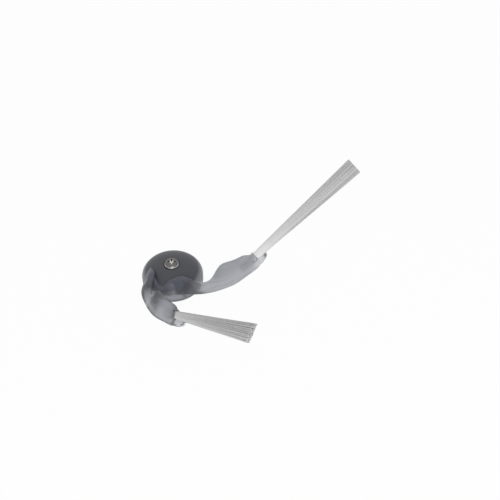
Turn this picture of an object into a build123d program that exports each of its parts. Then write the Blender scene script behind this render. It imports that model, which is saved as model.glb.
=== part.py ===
"""Side brush of a robot vacuum: a moulding with a domed hub and two arms, a screw and two bristle tufts.

The origin is on the hub's axis at its back face, and +Z points out of the dome, towards the floor in use.
Lengths are in millimetres and angles in degrees, counted from +X.
"""

import os
from math import cos, radians, sin

from build123d import *

os.makedirs("parts", exist_ok=True)

# Hub: a low dome on a short straight band
hub_radius = 11.5
band_height = 2.9
hub_height = 8.9
base_fillet = 0.4

# Back of the hub: a square drive socket in a boss, and a cored-out ring with ribs
socket_side = 6.0
socket_corner = 0.6
socket_depth = 4.9
boss_radius = 5.2
rim_wall = 1.9
core_depth = 2.4
rib_count = 6
rib_width = 1.2

# Screw: an M3 pan head with a cross recess, seated in the dome
screw_radius = 1.5
screw_length = 5.0
screw_tip_chamfer = 0.4
head_radius = 2.8
head_height = 2.3
head_rim_height = 0.8
recess_length = 3.0
recess_width = 0.75
recess_depth = 0.9
recess_taper = 20.0
seat_height = 7.8
seat_clearance = 0.25
hole_clearance = 0.2

# Arms: two equal arms, turned about the hub's axis, that grow out of the dome's flank
arm_turn = -77.0
tail_thickness = 1.8
root_thickness = 2.2
neck_thickness = 2.4
paddle_thickness = 2.8
exit_thickness = 3.3
end_thickness = 2.4
sleeve_thickness = 2.2
web_thickness = 2.2
web_end_thickness = 1.4
finger_thickness = 3.1
fingertip_thickness = 2.4
finger_reach = 8.0

# Bristle tuft: a flat fan of bristles whose melted root sits in a slot in the arm's end
tuft_heading = 27.9
tuft_pitch = 34.1
tuft_offset = 0.325
tuft_depth = 7.6
tuft_clearance = 0.05
tuft_length = 48.3
front_slant = 2.4
tuft_root_width = 3.0
tuft_root_thickness = 1.3
tuft_tip_width = 6.3
tuft_tip_thickness = 1.7
bristle_radius = 0.13
bristle_rows = (9, 12, 9)


def polar(angle, reach, height):
    """A point at an angle about the hub's axis, a reach outside its band and a height above its back face."""
    radius = hub_radius + reach
    return Vector(radius * cos(radians(angle)), radius * sin(radians(angle)), height)


class Station:
    """One cross section of a blade, from a point on its lower edge to a point on its upper edge."""

    def __init__(self, lower, upper, thickness):
        self.lower = polar(*lower)
        self.upper = polar(*upper)
        self.thickness = thickness
        self.across = self.upper - self.lower
        self.middle = (self.lower + self.upper) / 2

    def plane(self, along):
        """The section's plane, with its x axis across the blade and its normal along the arm."""
        along = along - self.across * (along.dot(self.across) / self.across.dot(self.across))
        return Plane(origin=self.middle, x_dir=self.across, z_dir=along)


# The arm's sections, from its root in the dome's flank, past the neck and the paddle, to the tuft
arm_stations = [
    Station((-101, -1.8, 4.0), (-101, -4.6, 7.0), tail_thickness),
    Station((-87, -0.7, 3.5), (-86, -4.3, 8.1), tail_thickness),
    Station((-72, -0.1, 3.6), (-69, -3.7, 9.5), root_thickness),
    Station((-53.5, 3.8, 5.3), (-48.4, 0.3, 9.6), neck_thickness),
    Station((-35.2, 8.8, 6.2), (-29.6, 6.1, 10.4), neck_thickness),
    Station((-31.1, 10.2, 6.6), (-23.6, 7.3, 13.7), paddle_thickness),
    Station((-26.3, 11.9, 7.1), (-19.9, 9.3, 16.1), paddle_thickness),
    Station((-20.2, 14.6, 8.1), (-12.6, 12.4, 16.0), paddle_thickness),
    Station((-12.4, 17.9, 9.5), (-6.5, 15.3, 16.0), exit_thickness),
    Station((-8.3, 21.45, 12.2), (-5.5, 17.37, 16.05), end_thickness),
    Station((-6.56, 21.8, 14.13), (-4.16, 18.57, 17.05), sleeve_thickness),
]

# The web on the dome that joins the two arms' roots, and the finger that runs on beside the tuft
web_stations = [
    Station((-68, -0.2, 3.9), (-68, -3.5, 8.6), web_end_thickness),
    Station((-84, -0.4, 3.5), (-84, -4.0, 8.0), web_thickness),
    Station((-98, 0.0, 3.5), (-98, -3.8, 7.4), web_thickness),
    Station((-113, -0.1, 3.5), (-113, -2.7, 6.2), web_thickness),
    Station((-128, -0.1, 3.6), (-128, -2.9, 7.1), web_thickness),
    Station((-142, -0.3, 3.8), (-142, -3.1, 7.7), web_thickness),
    Station((-156, -0.8, 4.1), (-156, -3.4, 7.9), web_end_thickness),
]
finger_stations = [
    Station((-12.4, 18.1, 9.7), (-10.2, 17.2, 12.0), finger_thickness),
    Station((-9.8, 19.9, 10.9), (-7.8, 18.4, 13.0), finger_thickness),
    Station((-7.2, 21.4, 11.9), (-5.2, 19.7, 14.0), finger_thickness),
    Station((-4.7, 22.6, 12.6), (-2.7, 21.4, 14.8), finger_thickness),
    Station((-2.1, 23.4, 13.2), (0.0, 23.0, 15.4), fingertip_thickness),
]


def blade(part_stations, oval=False, last_direction=None):
    """A blade lofted through its slot or oval sections; its end section may face a direction of its own."""
    with BuildLine():
        middle_line = Spline(*[station.middle for station in part_stations])
    with BuildPart() as solid:
        for station in part_stations:
            along = middle_line.tangent_at(middle_line.param_at_point(station.middle))
            if last_direction and station is part_stations[-1]:
                along = last_direction
            with BuildSketch(station.plane(along)):
                if oval:
                    Ellipse(station.across.length / 2, station.thickness / 2)
                else:
                    SlotOverall(station.across.length, station.thickness)
        loft()
    return solid.part


tuft_direction = Vector(1, 0, 0).rotate(Axis.Y, -tuft_pitch).rotate(Axis.Z, tuft_heading)
exit_plane = arm_stations[-1].plane(tuft_direction)
tuft_exit = exit_plane.from_local_coords(Vector(tuft_offset, 0, 0))
tuft_plane = Plane(origin=tuft_exit, x_dir=exit_plane.x_dir, z_dir=tuft_direction)


def tuft_outline(distance, gap):
    """The flat outline of the tuft at a distance from the arm's end, with a gap around it."""
    share = distance / tuft_length
    width = tuft_root_width + (tuft_tip_width - tuft_root_width) * share
    thickness = tuft_root_thickness + (tuft_tip_thickness - tuft_root_thickness) * share
    return SlotOverall(width + 2 * gap, thickness + 2 * gap)


# One arm, with its finger and tuft slot
with BuildPart() as single_arm:
    add(blade(arm_stations, last_direction=tuft_direction))
    add(blade(finger_stations, oval=True))
    with BuildSketch(tuft_plane):
        tuft_outline(0, tuft_clearance)
    extrude(amount=-tuft_depth, mode=Mode.SUBTRACT)
    for distance in (0, finger_reach):
        with BuildSketch(tuft_plane.offset(distance)):
            tuft_outline(distance, tuft_clearance)
    loft(mode=Mode.SUBTRACT)

# The moulding: the dome with both arms and the web, then the screw seat and the hollows of the back
with BuildPart() as brush_body:
    with BuildSketch(Plane.XZ):
        with BuildLine():
            base = Line((0, 0), (hub_radius, 0))
            Line(base @ 1, (hub_radius, band_height))
            dome = EllipticalCenterArc((0, band_height), hub_radius, hub_height - band_height, 0, arc_size=90)
            Line(dome @ 1, base @ 0)
        make_face()
    revolve(axis=Axis.Z)
    fillet(brush_body.edges().group_by(Axis.Z)[0], base_fillet)
    add(single_arm.part)
    add(single_arm.part.rotate(Axis.Z, arm_turn))
    add(blade(web_stations, oval=True))
    with BuildSketch(Plane.XY.offset(seat_height)):
        Circle(head_radius + seat_clearance)
    extrude(amount=hub_height, mode=Mode.SUBTRACT)
    with BuildSketch(Plane.XY):
        RectangleRounded(socket_side, socket_side, socket_corner)
    extrude(amount=socket_depth, mode=Mode.SUBTRACT)
    with BuildSketch(Plane.XY):
        Circle(screw_radius + hole_clearance)
    extrude(amount=hub_height, mode=Mode.SUBTRACT)
    with BuildSketch(Plane.XY):
        Circle(hub_radius - rim_wall)
        Circle(boss_radius, mode=Mode.SUBTRACT)
        with PolarLocations((hub_radius - rim_wall + boss_radius) / 2, rib_count):
            Rectangle(hub_radius, rib_width, mode=Mode.SUBTRACT)
    extrude(amount=core_depth, mode=Mode.SUBTRACT)
brush_body.part.label = "brush_body"
export_step(brush_body.part, "parts/brush_body.step")

# Screw
screw_tip = seat_height - screw_length
with BuildPart() as hub_screw:
    with BuildSketch(Plane.XZ):
        with BuildLine():
            tip = Line((0, screw_tip), (screw_radius - screw_tip_chamfer, screw_tip))
            chamfer_line = Line(tip @ 1, (screw_radius, screw_tip + screw_tip_chamfer))
            shank = Line(chamfer_line @ 1, (screw_radius, seat_height))
            under = Line(shank @ 1, (head_radius, seat_height))
            Line(under @ 1, (head_radius, seat_height + head_rim_height))
            crown = EllipticalCenterArc(
                (0, seat_height + head_rim_height), head_radius, head_height - head_rim_height, 0, arc_size=90
            )
            Line(crown @ 1, tip @ 0)
        make_face()
    revolve(axis=Axis.Z)
    with BuildSketch(Plane.XY.offset(seat_height + head_height)):
        Rectangle(recess_length, recess_width)
        Rectangle(recess_width, recess_length)
    extrude(amount=-recess_depth, taper=recess_taper, mode=Mode.SUBTRACT)
hub_screw.part.label = "hub_screw"
export_step(hub_screw.part, "parts/hub_screw.step")


def bristle_ends(column, row, slant):
    """Root and tip of one bristle of the fan; a slant makes the bristles shorter towards the lower edge."""
    share = (column - (bristle_rows[row] - 1) / 2) / (max(bristle_rows) - 1)
    layer = row / (len(bristle_rows) - 1) - 0.5
    inset = 2 * bristle_radius
    root = Vector(share * (tuft_root_width - inset), layer * (tuft_root_thickness - inset), 0)
    tip = Vector(share * (tuft_tip_width - inset), layer * (tuft_tip_thickness - inset), tuft_length)
    tip = root + (tip - root) * (1 - slant * (0.5 - share) / tuft_length)
    return tuft_plane.from_local_coords(root), tuft_plane.from_local_coords(tip)


def tuft(slant):
    """The melted root in its slot, and the bristles that fan out of it."""
    with BuildPart() as fan:
        with BuildSketch(tuft_plane):
            tuft_outline(0, 0)
        extrude(amount=-(tuft_depth - tuft_clearance))
        for row, row_count in enumerate(bristle_rows):
            for column in range(row_count):
                root, tip = bristle_ends(column, row, slant)
                with BuildSketch(Plane(origin=root, z_dir=tip - root)):
                    RegularPolygon(bristle_radius, 6)
                extrude(amount=(tip - root).length)
    return fan.part


# Tufts: the front one is worn to a slant at its end
right_tuft = tuft(0)
right_tuft.label = "right_tuft"
export_step(right_tuft, "parts/right_tuft.step")

front_tuft = tuft(front_slant).rotate(Axis.Z, arm_turn)
front_tuft.label = "front_tuft"
export_step(front_tuft, "parts/front_tuft.step")
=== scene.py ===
# %% [markdown]
# # A side brush for a robot vacuum
#
# The brush is one smoky, see-through moulding: a domed hub with a screw in its middle, and two curved
# arms that grow out of the dome's flank. Each arm holds a flat fan of bristles. The solids come from the
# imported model. This lesson gives them their finishes, sets fine bristles in place of the thick ones, and
# sets up the camera, the floor and the light.

import math
import random

import bpy
from mathutils import Matrix, Vector


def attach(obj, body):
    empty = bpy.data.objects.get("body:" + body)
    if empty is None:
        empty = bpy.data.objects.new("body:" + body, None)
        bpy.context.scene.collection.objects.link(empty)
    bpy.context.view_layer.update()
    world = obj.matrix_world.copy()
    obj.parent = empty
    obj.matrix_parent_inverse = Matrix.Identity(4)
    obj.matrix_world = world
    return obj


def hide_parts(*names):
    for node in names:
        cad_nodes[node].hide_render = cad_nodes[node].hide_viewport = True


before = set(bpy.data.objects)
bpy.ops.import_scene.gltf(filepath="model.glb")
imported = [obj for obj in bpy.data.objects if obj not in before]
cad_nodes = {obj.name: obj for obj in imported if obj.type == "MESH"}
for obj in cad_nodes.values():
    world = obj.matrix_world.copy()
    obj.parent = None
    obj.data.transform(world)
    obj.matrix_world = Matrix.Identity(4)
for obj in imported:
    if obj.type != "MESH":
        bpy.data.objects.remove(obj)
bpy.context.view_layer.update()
print("nodes:", sorted(cad_nodes))

# %% [markdown]
# ## Camera
#
# The photo looks down on the dome at 45 degrees. The hub's round outline and its screw gave the lens: a
# picture 34 degrees wide, taken from about 31 centimetres away. The camera only has a tilt, with no turn
# and no roll.

# %% Camera
camera_place = (0.02927, -0.21311, 0.22911)
camera_tilt = math.radians(45)
camera_lens = 59.09
camera_sensor = 36.0
camera_near = 0.01

bpy.ops.object.select_all(action="DESELECT")
bpy.ops.object.camera_add(location=camera_place, rotation=(camera_tilt, 0, 0))
camera = bpy.context.object
camera.name = "photo_camera"
camera.data.lens = camera_lens
camera.data.sensor_width = camera_sensor
camera.data.clip_start = camera_near
bpy.context.scene.camera = camera
bpy.context.scene.view_settings.view_transform = "Standard"
print("camera at", [round(value, 3) for value in camera.location])

# %% [markdown]
# ## Shader maths
#
# A finish is a graph of nodes, and a graph is hard to read as a list of links. Here one small class
# stands for an output of a node, and adding or multiplying two of them adds a Math node. Every other node
# comes from one method, which takes the node's type, its settings, and the values or links of its
# sockets.

# %% Shader maths
class Wire:
    """An output of a shader node. Arithmetic on it adds Math nodes to its finish."""

    def __init__(self, finish, socket):
        self.finish = finish
        self.socket = socket

    def other(self, name):
        """Another output of the same node."""
        return Wire(self.finish, self.socket.node.outputs[name])

    def math(self, operation, first, second):
        return self.finish.node("ShaderNodeMath", {"operation": operation}, {0: first, 1: second})

    def __add__(self, value):
        return self.math("ADD", self, value)

    def __sub__(self, value):
        return self.math("SUBTRACT", self, value)

    def __rsub__(self, value):
        return self.math("SUBTRACT", value, self)

    def __mul__(self, value):
        return self.math("MULTIPLY", self, value)

    def __truediv__(self, value):
        return self.math("DIVIDE", self, value)

    def root(self):
        return self.math("SQRT", self, 0.0)

    __radd__ = __add__
    __rmul__ = __mul__


class Finish:
    """A material or a world, built from nodes."""

    def __init__(self, owner, end):
        self.owner = owner
        owner.use_nodes = True
        self.tree = owner.node_tree
        self.tree.nodes.clear()
        self.end = self.tree.nodes.new(end)

    def node(self, kind, settings=None, sockets=None, output=0):
        made = self.tree.nodes.new(kind)
        for name, value in (settings or {}).items():
            setattr(made, name, value)
        for name, value in (sockets or {}).items():
            if isinstance(value, Wire):
                self.tree.links.new(value.socket, made.inputs[name])
            else:
                made.inputs[name].default_value = value
        return Wire(self, made.outputs[output])

    def place(self):
        return self.node("ShaderNodeTexCoord", output="Object")

    def seen(self):
        """1 for rays that show a thing to the camera: straight, by a reflection or through a skin."""
        ray = self.node("ShaderNodeLightPath", output="Is Camera Ray")
        rays = ray + ray.other("Is Glossy Ray") + ray.other("Is Transmission Ray")
        return self.node("ShaderNodeMath", {"operation": "MINIMUM"}, {0: rays, 1: 1.0})

    def noise(self, place, scale, detail):
        return self.node("ShaderNodeTexNoise", None, {"Vector": place, "Scale": scale, "Detail": detail})

    def mix_colours(self, share, first, second):
        sockets = {0: share, 6: first, 7: second}
        return self.node("ShaderNodeMix", {"data_type": "RGBA"}, sockets, output=2)

    def mix_shaders(self, share, first, second):
        return self.node("ShaderNodeMixShader", None, {0: share, 1: first, 2: second})

    def ramp(self, value, low, high):
        """A value eased from 0 to 1 between two limits."""
        sockets = {"Value": value, "From Min": low, "From Max": high}
        return self.node("ShaderNodeMapRange", {"interpolation_type": "SMOOTHSTEP"}, sockets)

    def bump(self, height, distance, strength):
        sockets = {"Height": height, "Distance": distance, "Strength": strength}
        return self.node("ShaderNodeBump", None, sockets)

    def skin(self, sockets):
        """A surface with its colour, roughness and the like."""
        return self.node("ShaderNodeBsdfPrincipled", None, sockets)

    def surface(self, wire, inside=None):
        self.tree.links.new(wire.socket, self.end.inputs["Surface"])
        if inside:
            self.tree.links.new(inside.socket, self.end.inputs["Volume"])
        return self.owner


def new_finish(name):
    return Finish(bpy.data.materials.new(name), "ShaderNodeOutputMaterial")


def wear(node, material):
    """Puts a finish on every material slot of a node, or adds a first one."""
    for slot in node.material_slots:
        slot.material = material
    if not node.material_slots:
        node.data.materials.append(material)


print("shader maths ready")

# %% [markdown]
# ## Floor and light
#
# A catalogue photo is taken on white, in light that comes softly from all sides. The floor is a large
# sheet. The camera sees most of it as plain white, which keeps the picture's background white without
# more light on the object, and the rest as a matt sheet that takes the object's shadow. The world gives
# even light, and one wide lamp gives it a direction. Reflections in the plastic, and what shows through
# it, meet the same white.

# %% Floor
floor_half = 3.0
floor_drop = 0.0001
floor_glow = 0.95
floor_white = (0.86, 0.86, 0.86, 1)
plain_white = (1, 1, 1, 1)

bpy.ops.object.select_all(action="DESELECT")
bpy.ops.mesh.primitive_plane_add(size=2 * floor_half, location=(0, 0, -floor_drop))
floor = bpy.context.object
floor.name = "floor"

floor_finish = new_finish("white_floor")
sheet = floor_finish.node("ShaderNodeBsdfDiffuse", None, {"Color": floor_white})
glow = floor_finish.node("ShaderNodeEmission", None, {"Color": plain_white, "Strength": 1.0})
floor_shader = floor_finish.mix_shaders(floor_finish.seen() * floor_glow, sheet, glow)
floor.data.materials.append(floor_finish.surface(floor_shader))
print("floor", [round(side, 2) for side in floor.dimensions])

# %% World and lamp
world_light = 0.62
lamp_power = 1.6
lamp_size = 0.5
lamp_place = Vector((0.10, -0.46, 0.42))
lamp_target = Vector((0.015, -0.01, 0.01))

world = bpy.data.worlds.new("studio")
bpy.context.scene.world = world
studio = Finish(world, "ShaderNodeOutputWorld")
even = studio.node("ShaderNodeBackground", None, {"Color": plain_white, "Strength": world_light})
white = studio.node("ShaderNodeBackground", None, {"Color": plain_white, "Strength": 1.0})
studio.surface(studio.mix_shaders(studio.seen(), even, white))

bpy.ops.object.select_all(action="DESELECT")
bpy.ops.object.light_add(type="AREA", location=lamp_place)
lamp = bpy.context.object
lamp.name = "wide_lamp"
lamp.data.shape = "DISK"
lamp.data.size = lamp_size
lamp.data.energy = lamp_power
lamp.rotation_euler = (lamp_target - lamp_place).to_track_quat("-Z", "Y").to_euler()
print("lamp", lamp.name, lamp.data.energy)

# %% [markdown]
# ## Where the tuft leaves the arm
#
# The bristles have to sit in the same slot as the solid tuft, so the arm's end is worked out from the
# same values as in the part's source: two edge points of the arm's last section, a heading and a pitch.

# %% Tuft place
hub_radius = 0.0115
exit_lower = (-6.56, 0.0218, 0.01413)
exit_upper = (-4.16, 0.01857, 0.01705)
tuft_heading = math.radians(27.9)
tuft_pitch = math.radians(34.1)
tuft_offset = 0.000325
tuft_depth = 0.0076
tuft_length = 0.0483
arm_turn = math.radians(-77)


def polar(angle, reach, height):
    """A point at an angle about the hub's axis, a reach outside its band and a height above its back."""
    radius = hub_radius + reach
    turn = math.radians(angle)
    return Vector((radius * math.cos(turn), radius * math.sin(turn), height))


flat = math.cos(tuft_pitch)
tuft_direction = Vector(
    (flat * math.cos(tuft_heading), flat * math.sin(tuft_heading), math.sin(tuft_pitch))
)
across = (polar(*exit_upper) - polar(*exit_lower)).normalized()
end_middle = (polar(*exit_upper) + polar(*exit_lower)) / 2
tuft_exit = end_middle + across * tuft_offset
tuft_across = (across - tuft_direction * across.dot(tuft_direction)).normalized()
tuft_deep = tuft_direction.cross(tuft_across)
tuft_matrix = Matrix((tuft_across, tuft_deep, tuft_direction)).transposed().to_4x4()
tuft_matrix.translation = tuft_exit
print("tuft leaves the arm at", [round(1000 * value, 2) for value in tuft_exit], "mm")

# %% [markdown]
# ## Smoky moulding
#
# The moulding is a smoky plastic that lets light through. The thin arms look pale where the white floor
# is behind them, and the thick dome looks dark. A painted grey would not do that. One see-through finish
# for the whole piece would, but it also shows the hollows of the hub's back through the dome. So two
# finishes are mixed by place. The thick hub gets one that lets no light through, with a paler rim that
# is painted light. The arms get a skin that passes most of the light and blurs it, around an inside that
# takes light away along the ray's path.
#
# Masks say where a point lies: on the hub, its rim or the thin skirt at its back, on the arm's root that
# stands proud of the dome, on the paddle or its upper lobe, on the finger or its tip. Two more masks mark
# the walls of the tuft slots. The plastic is bonded to the tuft there, so light goes straight through
# them.

# %% Places on the moulding
band_height = 0.0029
dome_rise = 0.0060
arm_climb = 0.36
hub_middle = (0.0094, 0.0130)
clear_start = (0.0104, 0.0129)
rim_start = (0.0094, 0.0115)
skirt_level = (0.0054, 0.0014)
proud_of_dome = (1.005, 1.12)
lobe_level = (0.0022, 0.0052)
finger_start = (0.0300, 0.0335)
fingertip_start = (0.0336, 0.0345)
paddle_start = (0.0130, 0.0250)
slot_skin = (0.00076, 0.00090)
slot_width = (0.00165, 0.00175)
slot_depth = (0.0001, 0.0003)
slot_end = (0.0080, 0.0078)

body_finish = new_finish("smoky_moulded_plastic")
place = body_finish.place()
parts = body_finish.node("ShaderNodeSeparateXYZ", None, {0: place})
east, north, height = parts, parts.other("Y"), parts.other("Z")
reach = (east * east + north * north).root()
off_hub = body_finish.ramp(reach, *hub_middle)
clear = body_finish.ramp(reach, *clear_start)
in_skirt = body_finish.ramp(height, *skirt_level)
in_finger = body_finish.ramp(reach, *finger_start)
in_fingertip = body_finish.ramp(reach, *fingertip_start)
in_paddle = body_finish.ramp(reach, *paddle_start)
up_dome = (height - band_height) / dome_rise
proud = body_finish.ramp(reach * reach / hub_radius ** 2 + up_dome * up_dome, *proud_of_dome)
in_rim = body_finish.ramp(reach, *rim_start) * (1.0 - proud)
across_arm = height - reach * arm_climb
in_lobe = body_finish.ramp(across_arm, *lobe_level)


def in_slot(turn):
    """A mask of the tuft slot of the arm at a turn about the hub's axis."""
    sockets = {
        "Vector": place,
        "Location": tuft_exit,
        "Rotation": tuft_matrix.to_euler(),
    }
    if turn:
        sockets["Vector"] = body_finish.node(
            "ShaderNodeVectorRotate", {"rotation_type": "Z_AXIS"}, {"Vector": place, "Angle": -turn}
        )
    local = body_finish.node("ShaderNodeMapping", {"vector_type": "TEXTURE"}, sockets)
    split = body_finish.node("ShaderNodeSeparateXYZ", None, {0: local})
    deep, along = split.other("Y"), split.other("Z")
    in_layer = body_finish.ramp(deep * deep, slot_skin[1] ** 2, slot_skin[0] ** 2)
    in_width = body_finish.ramp(split * split, slot_width[1] ** 2, slot_width[0] ** 2)
    depth = 0.0 - along
    in_length = body_finish.ramp(depth, *slot_depth) * body_finish.ramp(depth, *slot_end)
    return in_layer * in_width * in_length


slots = in_slot(0) + in_slot(arm_turn)
print("masks: hub, rim, skirt, arm roots, paddles, fingers and tuft slots")

# %% [markdown]
# ## Flow marks
#
# Melted plastic runs along the arms and leaves faint streaks. Both arms climb as they leave the hub, so
# lines of equal height above that climb follow the arm. The streaks are noise that changes quickly across
# those lines and slowly along them. A coarse noise makes paler clouds, and a fine one gives the satin
# skin its grain.

# %% Flow marks
streak_scale = 900.0
streak_length = 0.08
cloud_scale = 260.0
grain_scale = 2400.0
satin_grain = 0.5
satin_height = 0.00003
satin_strength = 0.35

streak_place = body_finish.node(
    "ShaderNodeCombineXYZ", None, {0: across_arm, 1: reach * streak_length, 2: 0.0}
)
streak = body_finish.noise(streak_place, streak_scale, 3.0)
cloud = body_finish.noise(place, cloud_scale, 3.0)
grain = body_finish.noise(place, grain_scale, 2.0)
satin = body_finish.bump(grain * satin_grain + streak, satin_height, satin_strength)
print("flow marks: streaks, clouds and grain")

# %% [markdown]
# ## Tint of the arms
#
# Light that passes the thin plastic takes on its tint. The tint starts from the flow marks, between a
# smoky and a cloudy one, and each mask then mixes in the tint of its place: darker in the lobes and over
# the hub, paler in the skirt, and nearly none in the thin fingers.

# %% Tint of the arms
streak_weight = 0.55
cloud_weight = 0.25
paddle_weight = 0.2
pale_range = (0.30, 0.66)
lobe_weight = 0.6
smoke_tint = (0.42, 0.428, 0.45, 1)
cloud_tint = (0.67, 0.678, 0.705, 1)
lobe_tint = (0.43, 0.438, 0.46, 1)
thick_tint = (0.32, 0.33, 0.36, 1)
skirt_tint = (0.50, 0.515, 0.55, 1)
finger_tint = (0.97, 0.975, 0.99, 1)

marks = streak * streak_weight + cloud * cloud_weight + in_paddle * paddle_weight
tint = body_finish.mix_colours(body_finish.ramp(marks, *pale_range), smoke_tint, cloud_tint)
tint = body_finish.mix_colours(in_lobe * lobe_weight, tint, lobe_tint)
tint = body_finish.mix_colours(off_hub, thick_tint, tint)
tint = body_finish.mix_colours(in_skirt, tint, skirt_tint)
tint = body_finish.mix_colours(in_finger, tint, finger_tint)
print("tints: arms, lobes, skirt and fingers")

# %% [markdown]
# ## Shade of the hub
#
# The thick hub sends little light back, so its finish is a dark shade. It is lighter on the roots of the
# arms, where streaks run over the dome. At the rim and in the skirt a pale grey is mixed in, painted light
# for the light that the thinner plastic there lets through and reflects. The fingers' round tips are thick
# too, and half of their finish is this one, with a pale shade that is painted light for the light that
# shines through the tips.

# %% Shade of the hub
root_weight = 0.4
rim_light_share = 0.55
hub_shade = (0.063, 0.065, 0.075, 1)
root_shade = (0.090, 0.099, 0.123, 1)
# The pale grey below is painted light at the rim and in the skirt, for light through the thin plastic.
painted_light_grey = (0.43, 0.444, 0.478, 1)
# The pale fingertip shade below is painted light for the light that shines through the round tips.
fingertip_painted_light = (0.64, 0.648, 0.67, 1)

shade = body_finish.mix_colours(proud * (root_weight + streak), hub_shade, root_shade)
# Painted light: the rim is made paler.
shade = body_finish.mix_colours(in_rim * rim_light_share, shade, painted_light_grey)
# Painted light at the fingertips.
shade = body_finish.mix_colours(in_fingertip, shade, fingertip_painted_light)
# Painted light: the skirt is made paler.
shade = body_finish.mix_colours(in_skirt, shade, painted_light_grey)
print("shades: hub, arm roots, rim, skirt and fingertips")

# %% [markdown]
# ## Smoky finish
#
# The tint goes to the see-through skin and the shade to the thick one, and the masks mix the two. The
# skin of the slots goes on last. The smoke inside takes light away with depth.

# %% Smoky finish
thin_roughness = 0.26
thick_roughness = 0.36
grain_roughness = 0.1
streak_roughness = 0.08
thin_bend = 1.3
thick_bend = 1.4
thin_pass = 0.86
skirt_clear = 0.7
fingertip_glow_share = 0.5
smoke_density = 180.0
smoke_colour = (0.20, 0.23, 0.28, 1)

thin_plastic = body_finish.skin(
    {
        "Base Color": tint,
        "Roughness": thin_roughness + grain * grain_roughness + streak * streak_roughness,
        "IOR": thin_bend,
        "Transmission Weight": thin_pass,
        "Normal": satin,
    }
)
thick_plastic = body_finish.skin(
    {
        "Base Color": shade,
        "Roughness": thick_roughness + grain * grain_roughness,
        "IOR": thick_bend,
        "Normal": satin,
    }
)
bond = body_finish.skin(
    {"Base Color": plain_white, "Roughness": 0.0, "IOR": 1.0, "Transmission Weight": 1.0}
)
# At the fingertips half of the finish is the thick one, with its pale painted light.
see_through = (clear + in_skirt * skirt_clear * (1.0 - clear)) * (1.0 - in_fingertip * fingertip_glow_share)
outside = body_finish.mix_shaders(see_through, thick_plastic, thin_plastic)
body_plastic = body_finish.mix_shaders(slots, outside, bond)
smoke_inside = body_finish.node(
    "ShaderNodeVolumeAbsorption", None, {"Color": smoke_colour, "Density": smoke_density}
)
wear(cad_nodes["brush_body"], body_finish.surface(body_plastic, smoke_inside))
print("body finish:", cad_nodes["brush_body"].material_slots[0].material.name)

# %% [markdown]
# ## Screw
#
# A small plated screw is turned on a lathe, so its head has fine rings, and the cross recess is pressed
# in. The rings are bands of the distance from the screw's axis, which is the Z axis of the model. The
# plating is stained, and a painted highlight of bright steel lies in the middle of the recess and at the
# head's rim.

# %% Screw finish
ring_pitch = 0.00012
ring_height = 0.000004
ring_strength = 0.5
recess_middle = (0.0010, 0.0005)
head_rim = (0.0025, 0.0027)
# The head rim's share of the painted highlight.
rim_glint_share = 0.6
stain_scale = 900.0
stain_height = 2.0
steel_roughness = 0.2
stain_roughness = 0.16
dark_plating = (0.085, 0.082, 0.078, 1)
pale_plating = (0.20, 0.194, 0.187, 1)
# The bright steel below is the colour of the painted highlight.
glint_steel = (0.88, 0.87, 0.85, 1)

screw_finish = new_finish("plated_screw_steel")
place = screw_finish.place()
flat_place = screw_finish.node(
    "ShaderNodeVectorMath", {"operation": "MULTIPLY"}, {0: place, 1: (1, 1, 0)}
)
reach = screw_finish.node(
    "ShaderNodeVectorMath", {"operation": "LENGTH"}, {0: flat_place}, output="Value"
)
ring_turn = reach * (2 * math.pi / ring_pitch)
rings = screw_finish.node("ShaderNodeMath", {"operation": "SINE"}, {0: ring_turn})
stain = screw_finish.noise(place, stain_scale, 3.0)
plating = screw_finish.mix_colours(stain, dark_plating, pale_plating)
# Painted highlight: bright in the middle of the recess and at the head's rim.
painted_glint = screw_finish.ramp(reach, *recess_middle) + screw_finish.ramp(reach, *head_rim) * rim_glint_share
screw_steel = screw_finish.skin(
    {
        "Base Color": screw_finish.mix_colours(painted_glint, plating, glint_steel),
        "Metallic": 1.0,
        "Roughness": steel_roughness + stain * stain_roughness,
        "Normal": screw_finish.bump(rings + stain * stain_height, ring_height, ring_strength),
    }
)
wear(cad_nodes["hub_screw"], screw_finish.surface(screw_steel))
print("screw finish:", screw_finish.owner.name)

# %% [markdown]
# ## One bristle
#
# A bristle is a thin nylon thread with a slight bow. One thread of each of a few bows is modelled: a six-
# sided cylinder whose long edges are cut into lengths, and whose rings are then moved sideways. All the
# others are copies.

# %% One bristle
bristle_radius = 0.00013
bristle_sides = 6
bristle_cuts = 5
bristle_bows = (0.0, 0.00006, -0.00005, 0.00009)
bristle_smooth = math.radians(50)


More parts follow.
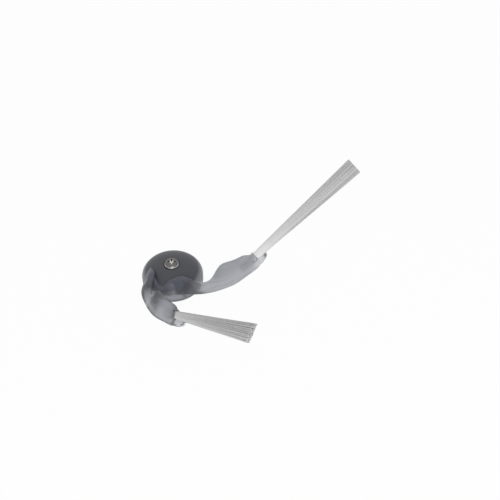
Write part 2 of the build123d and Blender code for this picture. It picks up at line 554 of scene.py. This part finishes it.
def model_bristle(number, bow):
    """One thread along +Z, with its root at the origin, that bows sideways in its middle."""
    bpy.ops.object.select_all(action="DESELECT")
    bpy.ops.mesh.primitive_cylinder_add(
        vertices=bristle_sides, radius=bristle_radius, depth=tuft_length, location=(0, 0, tuft_length / 2)
    )
    thread = bpy.context.object
    thread.name = "thread_" + str(number)
    bpy.ops.object.transform_apply(location=True)
    bpy.ops.object.mode_set(mode="EDIT")
    bpy.ops.mesh.select_all(action="DESELECT")
    bpy.ops.object.mode_set(mode="OBJECT")
    corners = thread.data.vertices
    for edge in thread.data.edges:
        low, high = (corners[index].co.z for index in edge.vertices)
        edge.select = abs(high - low) > tuft_length / 2
    bpy.ops.object.mode_set(mode="EDIT")
    bpy.ops.mesh.select_mode(type="EDGE")
    bpy.ops.mesh.subdivide(number_cuts=bristle_cuts)
    bpy.ops.mesh.select_mode(type="VERT")
    for ring in range(1, bristle_cuts + 1):
        share = ring / (bristle_cuts + 1)
        bpy.ops.mesh.select_all(action="DESELECT")
        bpy.ops.object.mode_set(mode="OBJECT")
        for corner in thread.data.vertices:
            corner.select = abs(corner.co.z - share * tuft_length) < tuft_length / (4 * bristle_cuts)
        bpy.ops.object.mode_set(mode="EDIT")
        bpy.ops.transform.translate(value=(0, bow * math.sin(math.pi * share), 0))
    bpy.ops.object.mode_set(mode="OBJECT")
    bpy.ops.object.shade_smooth_by_angle(angle=bristle_smooth)
    return thread


threads = [model_bristle(number, bow) for number, bow in enumerate(bristle_bows)]
print("threads:", len(threads), "faces each:", len(threads[0].data.polygons))

# %% [markdown]
# ## The fans of bristles
#
# In the slot the bristles lie packed in a flat bundle. Outside it they spread into a fan, and they stick
# together in locks, some paler and some darker. Each copy of a thread gets a place in the slot, a lock to
# lean to, and a small scatter of its own; the seed keeps the scatter the same on every run. The shade of
# the lock is kept on the mesh for the finish, with painted light added that makes the threads paler
# towards the root, more so on the right. The front fan is worn shorter towards its lower edge.

# %% Fans of bristles
root_width = 0.0030
root_thickness = 0.0013
tip_width = 0.0063
tip_thickness = 0.0017
bristle_columns = 25
bristle_rows = 5
column_start = 0.25
row_shift = 0.5
edge_round = 0.35
lock_count = 8
lock_pull = 0.14
root_scatter = 0.00003
tip_scatter = 0.00009
layer_scatter = 0.00016
length_scatter = 0.004
turn_scatter = 0.6
root_light_power = 4
front_slant = 0.0024
# The last value of each look is painted light that makes the threads paler towards the root, much more in
# the right fan.
right_look = {"seed": 11, "slant": 0.0, "lock_range": (-0.1, 0.2), "root_light": 0.55}
front_look = {"seed": 23, "slant": front_slant, "lock_range": (0.0, 0.3), "root_light": 0.1}


def set_thread(thread, root, tip, turn, shade, root_light):
    """One copy of a thread, laid from root to tip in the tuft's frame, with lock shade and painted root
    light.
    """
    bpy.ops.object.select_all(action="DESELECT")
    thread.select_set(True)
    bpy.context.view_layer.objects.active = thread
    bpy.ops.object.duplicate()
    copy = bpy.context.object
    run = tip - root
    aim = run.to_track_quat("Z", "Y") @ Matrix.Rotation(turn, 3, "Z").to_quaternion()
    size = Matrix.Diagonal((1, 1, run.length / tuft_length, 1))
    copy.matrix_world = tuft_matrix @ Matrix.Translation(root) @ aim.to_matrix().to_4x4() @ size
    lock_tone_and_light = copy.data.attributes.new("lock_tone_and_light", "FLOAT", "POINT")
    left = [1 - corner.co.z / tuft_length for corner in copy.data.vertices]
    # The attribute holds the lock's shade plus painted light that grows towards the root.
    lock_tone_and_light.data.foreach_set("value", [shade + root_light * share ** root_light_power for share in left])
    return copy


def lay_fan(name, seed, slant, lock_range, root_light):
    """A fan in the right arm's slot; a slant makes its threads shorter towards the lower edge."""
    scatter = random.Random(seed)
    shades = [scatter.uniform(*lock_range) for lock in range(lock_count)]
    laid = []
    for row in range(bristle_rows):
        layer = row / (bristle_rows - 1) - 0.5
        edge = math.sqrt(1 - edge_round * (2 * layer) ** 2)
        for column in range(bristle_columns):
            share = (column + column_start + row_shift * (row % 2)) / bristle_columns - 0.5
            lock = math.floor((share + 0.5) * lock_count)
            lock_middle = (lock + 0.5) / lock_count - 0.5
            outer = abs(share) > 0.5 - 1 / lock_count
            spread = share if outer else share + (lock_middle - share) * lock_pull
            root = Vector((
                share * edge * (root_width - 2 * bristle_radius),
                layer * (root_thickness - 2 * bristle_radius),
                0,
            ))
            tip = Vector((
                spread * (tip_width - 2 * bristle_radius),
                layer * (tip_thickness - 2 * bristle_radius - layer_scatter),
                tuft_length,
            ))
            root += Vector((scatter.uniform(-1, 1), scatter.uniform(-1, 1), 0)) * root_scatter
            aside = scatter.uniform(-1, 1) * tip_scatter
            tip += Vector((aside, scatter.uniform(-1, 1) * layer_scatter, 0))
            short = slant * (0.5 - share) / tuft_length + scatter.uniform(0, length_scatter)
            thread = threads[scatter.randrange(len(threads))]
            tip += (root - tip) * short
            turn = scatter.uniform(-turn_scatter, turn_scatter)
            laid.append(set_thread(thread, root, tip, turn, shades[lock], root_light))
    bpy.ops.object.select_all(action="DESELECT")
    for thread in laid:
        thread.select_set(True)
    bpy.context.view_layer.objects.active = laid[0]
    bpy.ops.object.join()
    bpy.ops.object.transform_apply(location=True, rotation=True, scale=True)
    laid[0].name = name
    return laid[0]


right_bristles = lay_fan("right_bristles", **right_look)
front_bristles = lay_fan("front_bristles", **front_look)
bpy.ops.object.select_all(action="DESELECT")
for thread in threads:
    thread.select_set(True)
bpy.ops.object.delete()
print("bristles in a fan:", bristle_rows * bristle_columns, "faces:", len(right_bristles.data.polygons))

# %% [markdown]
# ## The melted root
#
# In the factory the bundle's inner end is melted to a slug, and the arm is moulded around it. It shows
# through the smoky arm as a darker patch. The slug starts as a cylinder, each half of it is moved aside
# to make its section a slot, and its end edges are rounded. It is a little smaller than the slot, so the
# two don't touch.

# %% Melted root
slug_sides = 24
slug_round = 0.0003
slug_segments = 3
slug_share = 0.97
slug_middle = root_thickness / 50
rounded_angle = math.radians(60)
slug_smooth = math.radians(40)

bpy.ops.object.select_all(action="DESELECT")
bpy.ops.mesh.primitive_cylinder_add(
    vertices=slug_sides, radius=root_thickness / 2, depth=tuft_depth, location=(0, 0, -tuft_depth / 2)
)
right_slug = bpy.context.object
right_slug.name = "right_root_slug"
bpy.ops.object.transform_apply(location=True)
for side in (-1, 1):
    bpy.ops.object.mode_set(mode="EDIT")
    bpy.ops.mesh.select_all(action="DESELECT")
    bpy.ops.object.mode_set(mode="OBJECT")
    for corner in right_slug.data.vertices:
        corner.select = side * corner.co.x > slug_middle
    bpy.ops.object.mode_set(mode="EDIT")
    bpy.ops.transform.translate(value=(side * (root_width - root_thickness) / 2, 0, 0))
    bpy.ops.object.mode_set(mode="OBJECT")
rounding = right_slug.modifiers.new("melted_edges", "BEVEL")
rounding.width = slug_round
rounding.segments = slug_segments
rounding.limit_method = "ANGLE"
rounding.angle_limit = rounded_angle
bpy.ops.object.modifier_apply(modifier=rounding.name)
bpy.ops.object.shade_smooth_by_angle(angle=slug_smooth)
right_slug.matrix_world = tuft_matrix @ Matrix.Scale(slug_share, 4)
bpy.ops.object.transform_apply(location=True, rotation=True, scale=True)
print("slug:", len(right_slug.data.polygons), "faces")

# %% [markdown]
# ## Bristle finish
#
# Nylon thread is pale and matt. A single thread lets light through, but a packed fan doesn't, and threads
# that did would look grainy, so they are opaque here. The shade comes from the lock that a thread lies
# in, with painted light that makes it paler towards the root, a little of its own and a faint streak. The
# slug is the same nylon, melted to a lump that the smoky plastic is bonded to, so it hardly bends the
# light and only tints it.

# %% Bristle finish
lock_weight = 0.8
own_weight = 0.1
thread_streak_weight = 0.1
thread_streak_scale = 420.0
dark_thread = (0.46, 0.46, 0.458, 1)
pale_thread = (0.99, 0.99, 0.995, 1)
thread_roughness = 0.5
thread_streak_roughness = 0.1
thread_bend = 1.5

bristle_finish = new_finish("pale_nylon_thread")
place = bristle_finish.place()
# This attribute is the lock's shade with painted light towards the root.
lock_tone_and_light = bristle_finish.node("ShaderNodeAttribute", {"attribute_name": "lock_tone_and_light"}, output="Fac")
own_shade = bristle_finish.node("ShaderNodeNewGeometry", output="Random Per Island")
thread_streak = bristle_finish.noise(place, thread_streak_scale, 2.0)
paler = lock_tone_and_light * lock_weight + own_shade * own_weight + thread_streak * thread_streak_weight
nylon = bristle_finish.skin(
    {
        "Base Color": bristle_finish.mix_colours(paler, dark_thread, pale_thread),
        "Roughness": thread_roughness + thread_streak * thread_streak_roughness,
        "IOR": thread_bend,
    }
)
nylon_thread = bristle_finish.surface(nylon)
print("thread finish:", nylon_thread.name)

# %% Slug finish
lump_scale = 700.0
dark_melt = (0.54, 0.545, 0.56, 1)
pale_melt = (0.74, 0.745, 0.76, 1)
melt_roughness = 0.08
lump_roughness = 0.1
melt_bend = 1.06

slug_finish = new_finish("melted_nylon")
lump = slug_finish.noise(slug_finish.place(), lump_scale, 3.0)
melt = slug_finish.skin(
    {
        "Base Color": slug_finish.mix_colours(lump, dark_melt, pale_melt),
        "Roughness": melt_roughness + lump * lump_roughness,
        "IOR": melt_bend,
        "Transmission Weight": 1.0,
    }
)
melted_nylon = slug_finish.surface(melt)
print("slug finish:", melted_nylon.name)

# %% [markdown]
# ## The front tuft
#
# The second arm is the first one turned about the hub's axis. The front fan was laid in the right arm's
# slot, so it is turned into its own by the same angle, and so is a copy of the slug with its own mesh.

# %% Front tuft
bpy.ops.object.select_all(action="DESELECT")
right_slug.select_set(True)
bpy.context.view_layer.objects.active = right_slug
bpy.ops.object.duplicate()
front_slug = bpy.context.object
front_slug.name = "front_root_slug"
for piece in (front_bristles, front_slug):
    bpy.ops.object.select_all(action="DESELECT")
    piece.select_set(True)
    bpy.context.view_layer.objects.active = piece
    piece.matrix_world = Matrix.Rotation(arm_turn, 4, "Z")
    bpy.ops.object.transform_apply(location=True, rotation=True, scale=True)

for piece in (right_bristles, front_bristles):
    wear(piece, nylon_thread)
for piece in (right_slug, front_slug):
    wear(piece, melted_nylon)
for piece in (right_bristles, right_slug, front_bristles, front_slug):
    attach(piece, "root")
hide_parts("right_tuft")
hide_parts("front_tuft")
print("tufts:", right_bristles.name, front_bristles.name)
